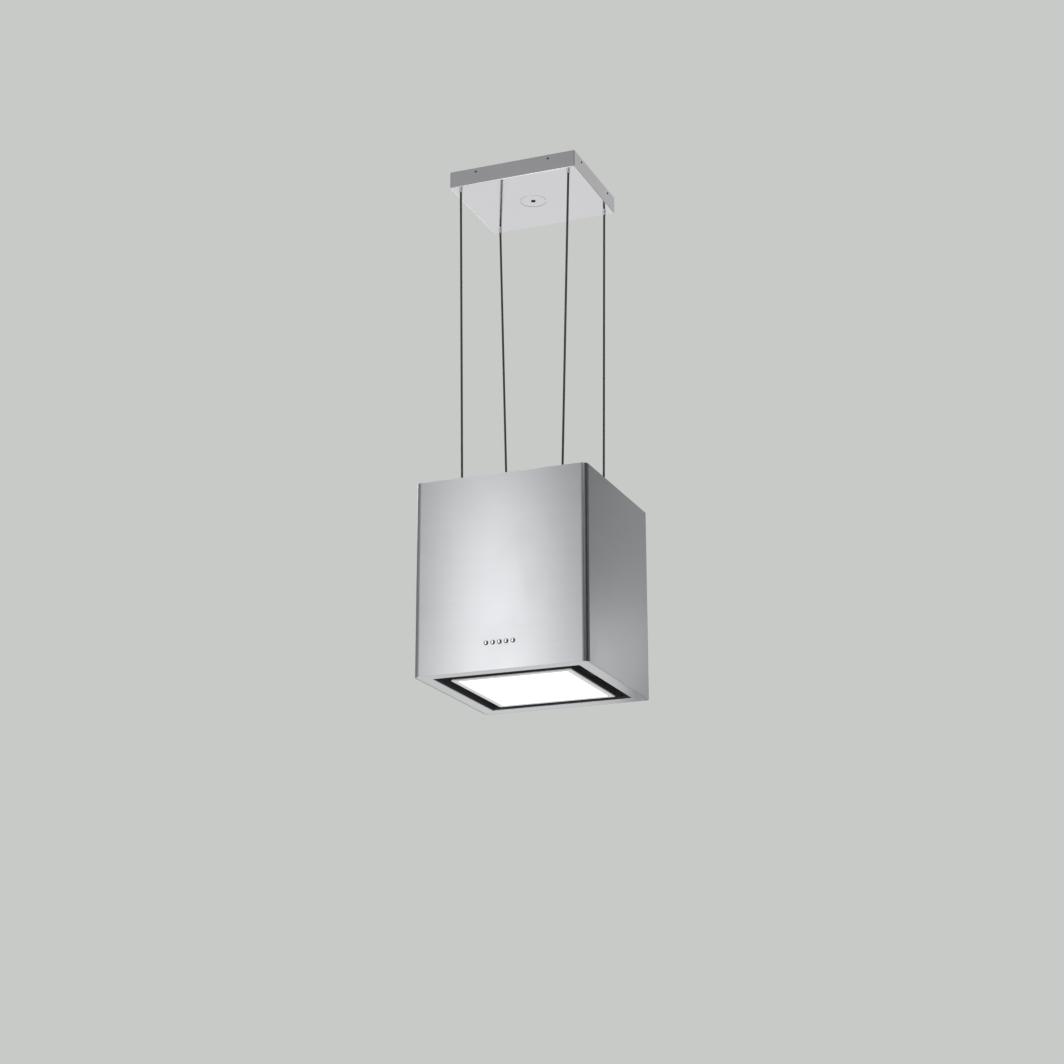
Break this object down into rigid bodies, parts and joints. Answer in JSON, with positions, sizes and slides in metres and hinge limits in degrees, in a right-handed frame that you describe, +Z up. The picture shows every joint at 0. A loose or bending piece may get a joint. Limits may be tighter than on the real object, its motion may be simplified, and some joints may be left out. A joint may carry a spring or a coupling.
{
  "type": "island range hood",
  "caption": "Square brushed steel island range hood on four steel ropes below a flat ceiling plate, with round push-buttons and a lighted panel inside a perimeter suction slot.",
  "frame": {"origin": "centre of the ceiling bracket's upper face, which lies on the ceiling", "axes": "+Z up, -Y towards the side with the buttons, +X to the right of it"},
  "size_m": [0.39, 0.393, 1.183],
  "materials": {
    "brushed_steel": "fine brushed, satin",
    "satin_steel": "satin",
    "plate_steel": "polished satin",
    "zinc_steel": "zinc plated",
    "bright_steel": "polished",
    "rope_steel": "stranded steel rope",
    "black_paint": "matt black",
    "black_plastic": "matt",
    "white_plastic": "satin",
    "grey_plastic": "matt",
    "black_rubber": "matt",
    "aluminium": "mill",
    "carbon": "granular charcoal",
    "board_green": "solder mask",
    "copper_steel": "varnished windings",
    "opal_glass": "frosted, lit from behind",
    "screw_steel": "dark satin"
  },
  "bodies": {
    "hood": {"ceiling_bracket": "zinc_steel", "ceiling_tray": "plate_steel", "m3_screws": "screw_steel", "outlet_cap": "plate_steel", "cable_grommet": "black_rubber", "junction_box": "white_plastic", "rope_clamps": "bright_steel", "rope_bushes": "bright_steel", "rope_front_left": "rope_steel", "rope_front_right": "rope_steel", "rope_rear_left": "rope_steel", "rope_rear_right": "rope_steel", "rope_terminals": "bright_steel", "terminal_nuts": "bright_steel", "outer_shell": "brushed_steel", "rim_frame": "brushed_steel", "throat": "black_paint", "lower_ring": "zinc_steel", "corner_posts": "zinc_steel", "cross_rails": "zinc_steel", "upper_frame": "zinc_steel", "top_panel": "brushed_steel", "cable_gland": "black_plastic", "outlet_grille": "satin_steel", "carbon_frame": "black_plastic", "carbon_core": "carbon", "outlet_duct": "zinc_steel", "scroll_left": "grey_plastic", "scroll_right": "grey_plastic", "motor_bearings": "bright_steel", "motor_stator": "copper_steel", "motor_shells": "aluminium", "motor_spider": "zinc_steel", "rubber_mounts": "black_rubber", "capacitor": "white_plastic", "electronics_box": "zinc_steel", "circuit_board": "board_green", "led_driver": "white_plastic", "switch_housing": "black_plastic", "switch_board": "board_green", "button_springs": "bright_steel", "filter_frame": "aluminium", "filter_mesh": "aluminium", "magnet_catches": "black_paint", "hinge_brackets": "black_paint", "hinge_pins": "bright_steel", "wiring": "black_rubber"},
    "light_panel": {"panel_glass": "opal_glass", "panel_frame": "black_paint", "panel_back": "zinc_steel", "led_strips": "white_plastic", "hinge_leaves": "black_paint"},
    "fan": {"impeller": "white_plastic", "motor_rotor": "bright_steel"},
    "latch": {"filter_latch": "black_plastic"},
    "button_1": {"button_1": "bright_steel"},
    "button_2": {"button_2": "bright_steel"},
    "button_3": {"button_3": "bright_steel"},
    "button_4": {"button_4": "bright_steel"},
    "button_5": {"button_5": "bright_steel"}
  },
  "joints": [
    {"name": "button_1_press", "type": "slide", "parent": "hood", "child": "button_1", "axis": [0, 1, 0], "range_m": [0, 0.002], "stiffness_N_per_m": 250, "deforming": ["button_springs"]},
    {"name": "button_2_press", "type": "slide", "parent": "hood", "child": "button_2", "axis": [0, 1, 0], "range_m": [0, 0.002], "stiffness_N_per_m": 250, "deforming": ["button_springs"]},
    {"name": "button_3_press", "type": "slide", "parent": "hood", "child": "button_3", "axis": [0, 1, 0], "range_m": [0, 0.002], "stiffness_N_per_m": 250, "deforming": ["button_springs"]},
    {"name": "button_4_press", "type": "slide", "parent": "hood", "child": "button_4", "axis": [0, 1, 0], "range_m": [0, 0.002], "stiffness_N_per_m": 250, "deforming": ["button_springs"]},
    {"name": "button_5_press", "type": "slide", "parent": "hood", "child": "button_5", "axis": [0, 1, 0], "range_m": [0, 0.002], "stiffness_N_per_m": 250, "deforming": ["button_springs"]},
    {"name": "light_panel_hinge", "type": "hinge", "parent": "hood", "child": "light_panel", "pos_m": [0, 0.1395, -1.171], "axis": [1, 0, 0], "range_deg": [0, 80]},
    {"name": "fan_spin", "type": "hinge", "parent": "hood", "child": "fan", "pos_m": [0, -0.04, -0.978], "axis": [1, 0, 0], "continuous": true},
    {"name": "filter_latch_slide", "type": "slide", "parent": "hood", "child": "latch", "axis": [0, 1, 0], "range_m": [0, 0.006], "stiffness_N_per_m": 200}
  ]
}
